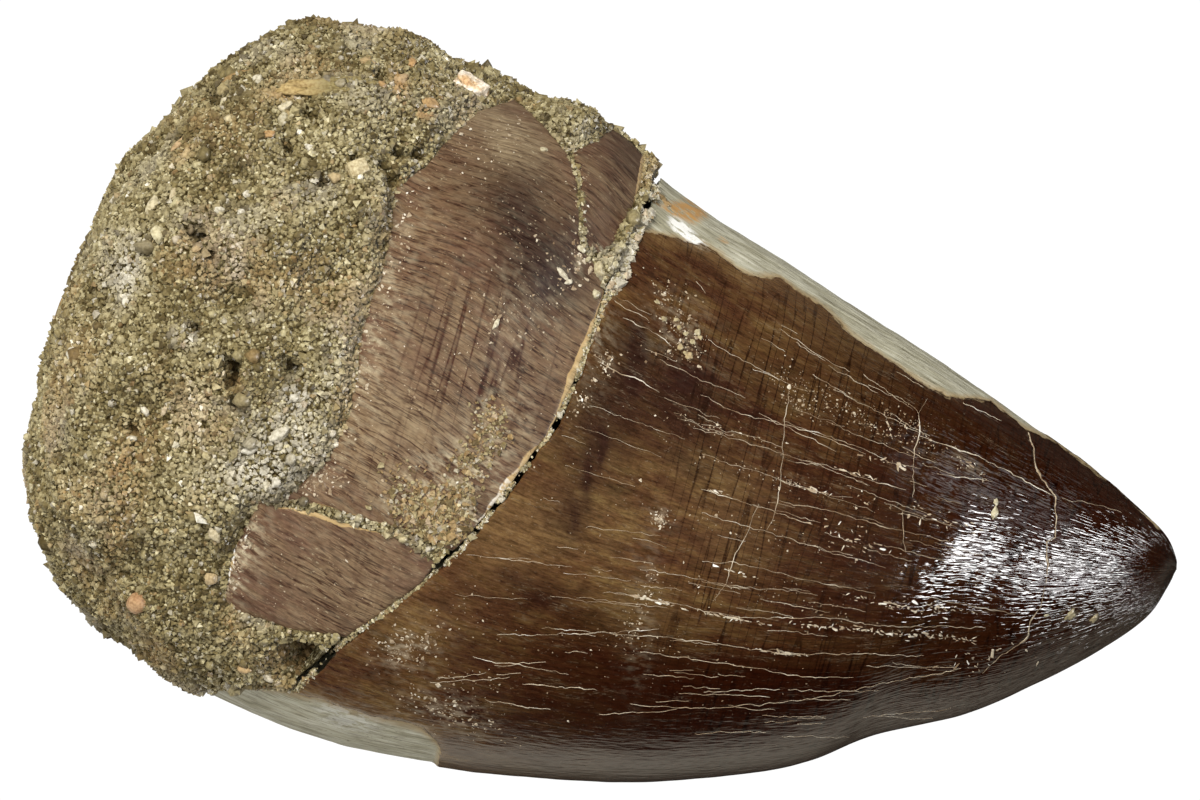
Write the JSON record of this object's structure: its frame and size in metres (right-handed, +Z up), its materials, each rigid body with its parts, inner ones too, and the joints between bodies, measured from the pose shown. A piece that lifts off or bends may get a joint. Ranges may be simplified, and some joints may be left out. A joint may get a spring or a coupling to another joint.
{
  "type": "fossil mosasaur tooth in sandstone",
  "caption": "Curved conical reptile tooth lying on its side, broken across near the base, with plates of its wall and its root end set in a rounded lump of coarse sandstone.",
  "frame": {"origin": "On the surface it rests on, under the middle of the bounding box", "axes": "+X from the stone end to the tip of the tooth, +Y towards the edge with the worn strip, +Z up"},
  "size_m": [0.055, 0.0335, 0.0236],
  "materials": {
    "crown_enamel": "glossy dark brown fossil enamel",
    "plate_enamel": "satin brown fossil enamel",
    "sandstone": "rough, coarse grained",
    "shell": "matte, layered",
    "pebble": "satin, worn smooth"
  },
  "bodies": {
    "root": {"crown": "crown_enamel", "base_plate": "plate_enamel", "upper_shard": "plate_enamel", "lower_shard": "plate_enamel", "stone": "sandstone", "shell_chip": "shell", "shell_strip": "shell", "edge_flake": "shell", "round_pebble": "pebble", "small_pebble": "pebble"}
  },
  "joints": []
}
